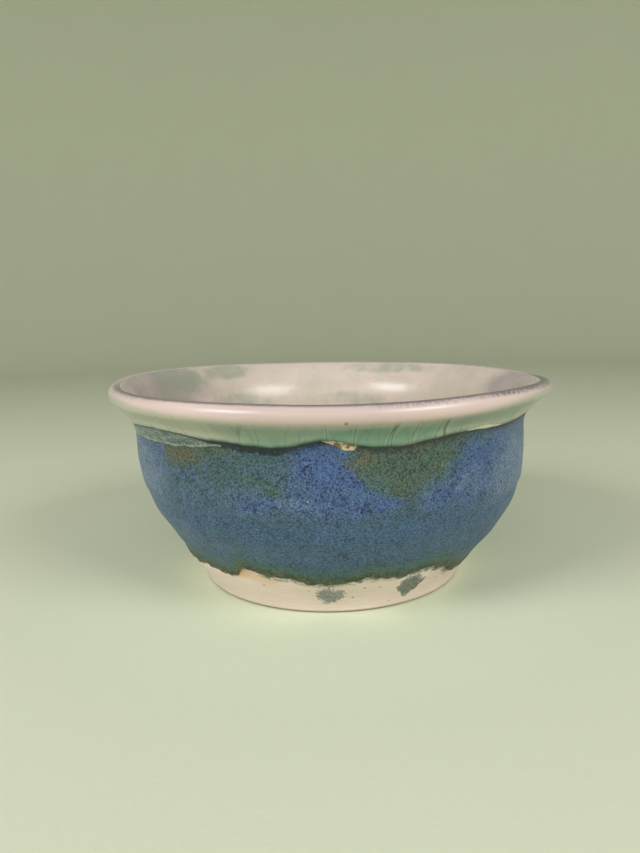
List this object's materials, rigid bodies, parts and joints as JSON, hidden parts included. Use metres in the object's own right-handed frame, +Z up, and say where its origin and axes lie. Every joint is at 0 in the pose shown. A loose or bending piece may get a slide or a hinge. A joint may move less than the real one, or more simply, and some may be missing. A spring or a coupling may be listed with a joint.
{
  "type": "yarn bowl",
  "caption": "Small wheel-thrown stoneware yarn bowl with a flared rim and a turned foot, glazed cream inside, celadon green under the rim and speckled blue on the belly, over a bare clay foot.",
  "frame": {"origin": "middle of the foot ring on the surface that the bowl stands on", "axes": "+Z up along the bowl's axis of turning, -Y towards the side with the two glaze smudges on the foot, +X to the right of that side"},
  "size_m": [0.1404, 0.1404, 0.0637],
  "materials": {
    "stoneware": "bare fired clay, matte, with fine turning lines",
    "cream_glaze": "smooth glossy cream glaze with pale green patches",
    "celadon_glaze": "glossy crackled green glaze that breaks to cream on the lip",
    "blue_glaze": "satin speckled blue glaze with olive and green patches",
    "mottled_glaze": "satin mottled grey-green glaze",
    "smudge_glaze": "thin matte speckled blue-grey glaze"
  },
  "bodies": {
    "root": {"clay_body": "stoneware", "liner_glaze": "cream_glaze", "rim_glaze": "celadon_glaze", "belly_glaze": "blue_glaze", "overlap_glaze": "mottled_glaze", "foot_smudges": "smudge_glaze"}
  },
  "joints": []
}
